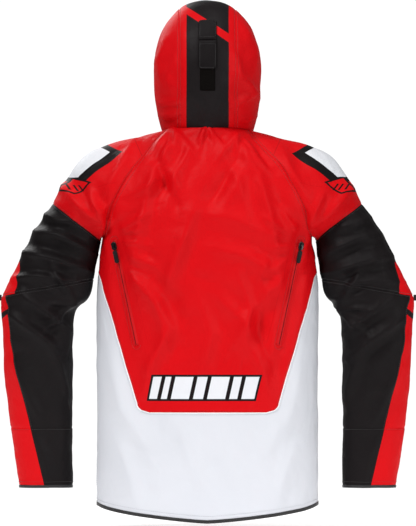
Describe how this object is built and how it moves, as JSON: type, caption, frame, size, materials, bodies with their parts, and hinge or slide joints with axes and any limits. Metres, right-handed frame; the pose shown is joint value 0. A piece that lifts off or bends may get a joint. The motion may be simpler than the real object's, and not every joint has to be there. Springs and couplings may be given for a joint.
{
  "type": "hooded hardshell jacket",
  "caption": "Hooded waterproof shell jacket with raglan sleeves, welded rear vents, slanted front pockets, straight front zip and bound edges, hanging closed from its neck loop.",
  "frame": {"origin": "middle of the neck seam at the back, at the hanger loop", "axes": "front faces -Y, back +Y, the wearer's left +X, up +Z"},
  "size_m": [0.8398, 0.2752, 1.0414],
  "materials": {
    "red_shell": "laminated woven nylon face, matte with a soft sheen",
    "black_shell": "laminated woven nylon face, matte",
    "white_shell": "laminated woven nylon face, matte, cool grey-white",
    "black_trim": "folded edge binding and webbing",
    "lining": "brushed tricot backer with taped seams",
    "loop_pad": "woven loop fastener",
    "zip": "coated water-resistant zip",
    "slider_metal": "black enamelled die-cast slider",
    "pull_rubber": "moulded rubber pull"
  },
  "bodies": {
    "jacket_body": {"back_hem_panel": "white_shell", "back_panel": "red_shell", "front_storm_flap": "lining", "front_zip_box": "slider_metal", "front_zip_left_tape": "zip", "front_zip_right_tape": "zip", "hanger_loop": "black_trim", "hem_binding": "black_trim", "hood_centre_panel": "black_shell", "hood_face_binding": "black_trim", "hood_loop_pad": "loop_pad", "hood_tab_base": "black_shell", "left_front_hem_panel": "white_shell", "left_front_panel": "red_shell", "left_hood_side_panel": "red_shell", "left_pocket_bag": "lining", "left_pocket_zip": "zip", "left_shoulder_panel": "red_shell", "left_vent_zip": "zip", "neck_facing": "lining", "right_front_hem_panel": "white_shell", "right_front_panel": "red_shell", "right_hood_side_panel": "red_shell", "right_pocket_bag": "lining", "right_pocket_zip": "zip", "right_shoulder_panel": "red_shell", "right_vent_zip": "zip"},
    "left_arm": {"left_upper_sleeve": "black_shell", "left_sleeve_tag": "black_trim"},
    "left_forearm": {"left_elbow_section": "black_shell", "left_forearm_panel": "black_shell", "left_forearm_outer_panel": "red_shell", "left_cuff_band": "black_shell", "left_cuff_binding": "black_trim", "left_cuff_loop_pad": "loop_pad"},
    "left_cuff_flap": {"left_cuff_tab": "black_shell"},
    "left_vent_runner": {"left_vent_slider": "slider_metal"},
    "left_vent_puller": {"left_vent_pull": "pull_rubber"},
    "left_pocket_runner": {"left_pocket_slider": "slider_metal"},
    "left_pocket_puller": {"left_pocket_pull": "pull_rubber"},
    "right_arm": {"right_upper_sleeve": "black_shell", "right_sleeve_tag": "black_trim"},
    "right_forearm": {"right_elbow_section": "black_shell", "right_forearm_panel": "black_shell", "right_forearm_outer_panel": "red_shell", "right_cuff_band": "black_shell", "right_cuff_binding": "black_trim", "right_cuff_loop_pad": "loop_pad"},
    "right_cuff_flap": {"right_cuff_tab": "black_shell"},
    "right_vent_runner": {"right_vent_slider": "slider_metal"},
    "right_vent_puller": {"right_vent_pull": "pull_rubber"},
    "right_pocket_runner": {"right_pocket_slider": "slider_metal"},
    "right_pocket_puller": {"right_pocket_pull": "pull_rubber"},
    "front_runner": {"front_zip_slider": "slider_metal"},
    "front_puller": {"front_zip_pull": "pull_rubber"},
    "hood_flap": {"hood_tab": "black_shell"}
  },
  "joints": [
    {"name": "left_shoulder", "type": "hinge", "parent": "jacket_body", "child": "left_arm", "pos_m": [0.222, -0.088, -0.195], "axis": [0, -1, 0], "range_deg": [0, 30], "deforming": ["left_shoulder_panel"]},
    {"name": "left_elbow", "type": "hinge", "parent": "left_arm", "child": "left_forearm", "pos_m": [0.318, -0.08, -0.365], "axis": [-1, 0, 0], "range_deg": [0, 60], "deforming": ["left_elbow_section"]},
    {"name": "left_cuff_tab_peel", "type": "hinge", "parent": "left_forearm", "child": "left_cuff_flap", "pos_m": [0.29727, -0.17128, -0.63336], "axis": [0, 0, -1], "range_deg": [0, 100]},
    {"name": "left_vent_slide", "type": "slide", "parent": "jacket_body", "child": "left_vent_runner", "axis": [-0.2082, 0.0824, -0.9746], "range_m": [0, 0.162]},
    {"name": "left_vent_pull_swing", "type": "hinge", "parent": "left_vent_runner", "child": "left_vent_puller", "pos_m": [0.18559, 0.00258, -0.24509], "axis": [0.8456, -0.4856, -0.2217], "range_deg": [0, 150]},
    {"name": "left_pocket_slide", "type": "slide", "parent": "jacket_body", "child": "left_pocket_runner", "axis": [-0.2458, -0.1347, -0.9599], "range_m": [0, 0.121]},
    {"name": "left_pocket_pull_swing", "type": "hinge", "parent": "left_pocket_runner", "child": "left_pocket_puller", "pos_m": [0.16185, -0.19388, -0.39028], "axis": [-0.9019, -0.3311, 0.2774], "range_deg": [0, 150]},
    {"name": "right_shoulder", "type": "hinge", "parent": "jacket_body", "child": "right_arm", "pos_m": [-0.222, -0.088, -0.195], "axis": [0, 1, 0], "range_deg": [0, 30], "deforming": ["right_shoulder_panel"]},
    {"name": "right_elbow", "type": "hinge", "parent": "right_arm", "child": "right_forearm", "pos_m": [-0.318, -0.08, -0.365], "axis": [-1, 0, 0], "range_deg": [0, 60], "deforming": ["right_elbow_section"]},
    {"name": "right_cuff_tab_peel", "type": "hinge", "parent": "right_forearm", "child": "right_cuff_flap", "pos_m": [-0.29727, -0.17128, -0.63336], "axis": [0, 0, 1], "range_deg": [0, 100]},
    {"name": "right_vent_slide", "type": "slide", "parent": "jacket_body", "child": "right_vent_runner", "axis": [0.2082, 0.0824, -0.9746], "range_m": [0, 0.162]},
    {"name": "right_vent_pull_swing", "type": "hinge", "parent": "right_vent_runner", "child": "right_vent_puller", "pos_m": [-0.18559, 0.00258, -0.24509], "axis": [0.8456, 0.4856, 0.2217], "range_deg": [0, 150]},
    {"name": "right_pocket_slide", "type": "slide", "parent": "jacket_body", "child": "right_pocket_runner", "axis": [0.2458, -0.1347, -0.9599], "range_m": [0, 0.121]},
    {"name": "right_pocket_pull_swing", "type": "hinge", "parent": "right_pocket_runner", "child": "right_pocket_puller", "pos_m": [-0.16185, -0.19388, -0.39028], "axis": [-0.9019, 0.3311, -0.2774], "range_deg": [0, 150]},
    {"name": "front_zip_slide", "type": "slide", "parent": "jacket_body", "child": "front_runner", "axis": [0, -0.0435, -0.9991], "range_m": [0, 0.67]},
    {"name": "front_pull_swing", "type": "hinge", "parent": "front_runner", "child": "front_puller", "pos_m": [0, -0.20201, -0.01304], "axis": [-1, 0, 0], "range_deg": [0, 150]},
    {"name": "hood_tab_lift", "type": "hinge", "parent": "jacket_body", "child": "hood_flap", "pos_m": [0, 0.03921, 0.17212], "axis": [1, 0, 0], "range_deg": [0, 150]}
  ]
}
